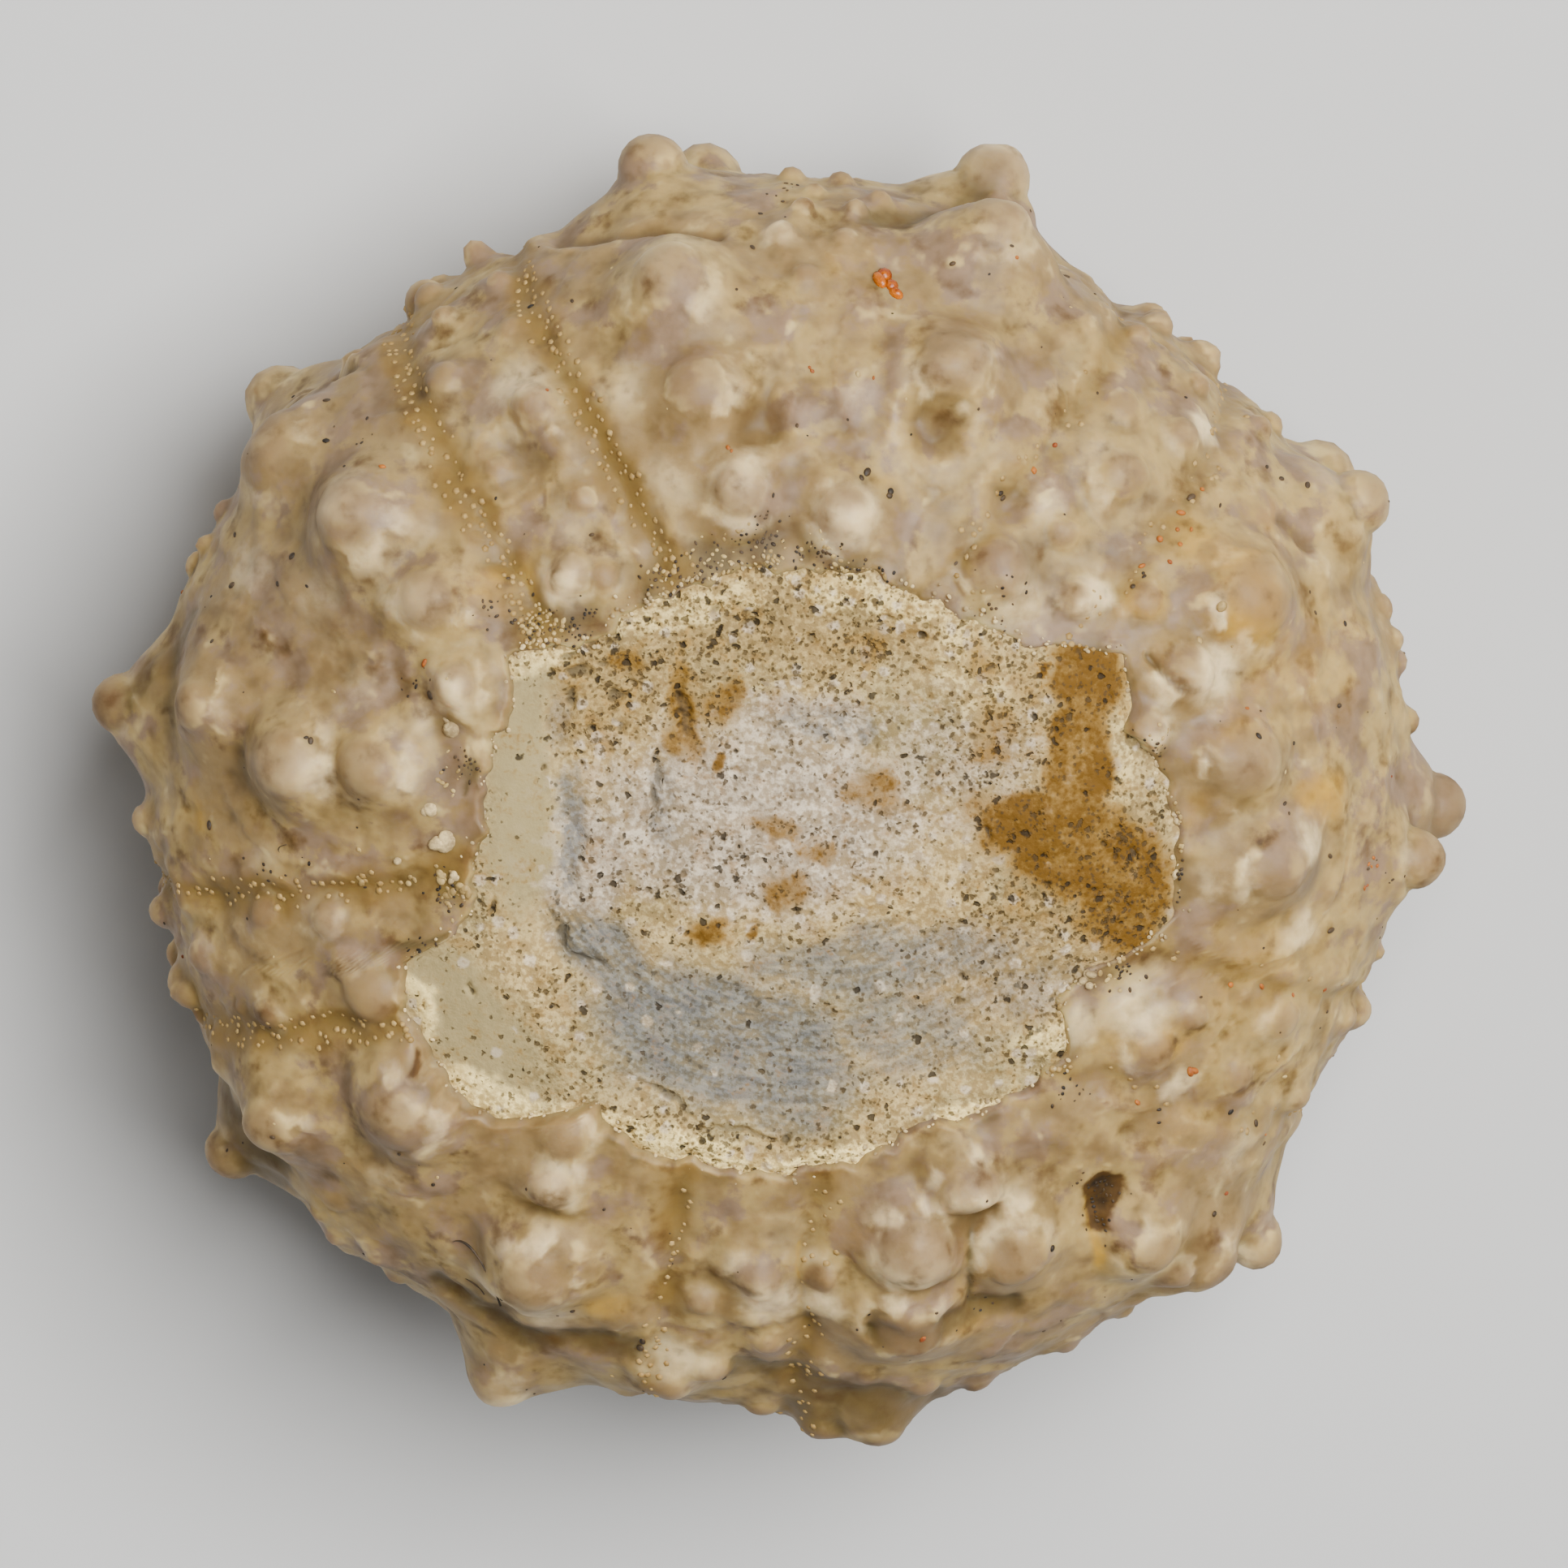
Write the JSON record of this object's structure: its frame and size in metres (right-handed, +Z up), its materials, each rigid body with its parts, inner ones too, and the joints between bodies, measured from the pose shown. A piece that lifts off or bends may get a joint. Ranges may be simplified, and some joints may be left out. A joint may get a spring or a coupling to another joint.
{
  "type": "fossil sea urchin",
  "caption": "Fossil regular sea urchin test with knobbed spine bosses in columns between pored bands, its broken mouth filled with pale speckled stone.",
  "frame": {"origin": "middle of the bottom of the bounding box, on the plane the fossil rests on", "axes": "+Z up through the mouth, which is on top; +X and +Y are sideways"},
  "size_m": [0.02, 0.0192, 0.0105],
  "materials": {
    "test": "chalky calcite with a soft pearly sheen, ochre and brown staining and fine pores",
    "stone_fill": "matt speckled limestone with dark pits and an orange-brown iron stain"
  },
  "bodies": {
    "root": {"test": "test", "stone_fill": "stone_fill"}
  },
  "joints": []
}
